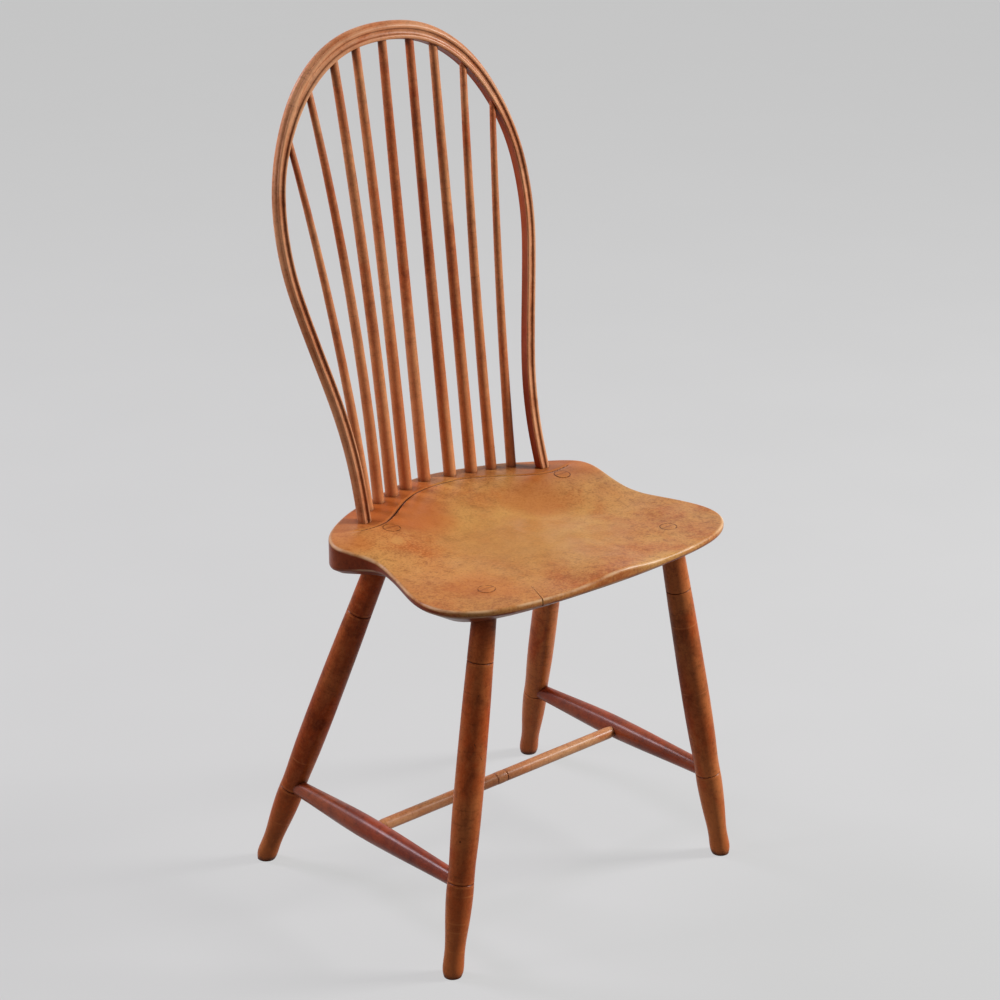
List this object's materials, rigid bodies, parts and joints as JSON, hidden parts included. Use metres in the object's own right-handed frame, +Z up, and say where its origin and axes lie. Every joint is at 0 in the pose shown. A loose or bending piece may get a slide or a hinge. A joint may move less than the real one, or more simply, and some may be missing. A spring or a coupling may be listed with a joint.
{
  "type": "windsor chair",
  "caption": "Bow-back windsor side chair: saddled plank seat, turned splayed legs, H-stretcher, moulded bent bow and tapered spindles.",
  "frame": {"origin": "on the floor under the middle of the chair's bounding box", "axes": "+Z up, -Y towards the front of the seat, +X to the sitter's left"},
  "size_m": [0.4427, 0.4106, 0.9705],
  "materials": {
    "seat_wood": "satin old shellac over honey-brown wood",
    "bow_wood": "satin old shellac over red-brown wood",
    "leg_wood": "satin old shellac over dark red-brown wood",
    "side_stretcher_wood": "satin old shellac over deep red-brown wood",
    "centre_stretcher_wood": "satin old shellac over light brown wood",
    "spindle_wood": "satin old shellac over red-brown wood",
    "wedge_wood": "end of a hardwood wedge, darkened"
  },
  "bodies": {
    "root": {"seat": "seat_wood", "bow": "bow_wood", "front_leg_right": "leg_wood", "front_leg_left": "leg_wood", "rear_leg_right": "leg_wood", "rear_leg_left": "leg_wood", "side_stretcher_right": "side_stretcher_wood", "side_stretcher_left": "side_stretcher_wood", "centre_stretcher": "centre_stretcher_wood", "wedge_front_leg_right": "wedge_wood", "wedge_front_leg_left": "wedge_wood", "wedge_rear_leg_right": "wedge_wood", "wedge_rear_leg_left": "wedge_wood", "wedge_bow_right": "wedge_wood", "wedge_bow_left": "wedge_wood", "spindle_1": "spindle_wood", "spindle_2": "spindle_wood", "spindle_3": "spindle_wood", "spindle_4": "spindle_wood", "spindle_5": "spindle_wood", "spindle_6": "spindle_wood", "spindle_7": "spindle_wood", "spindle_8": "spindle_wood", "spindle_9": "spindle_wood"}
  },
  "joints": []
}
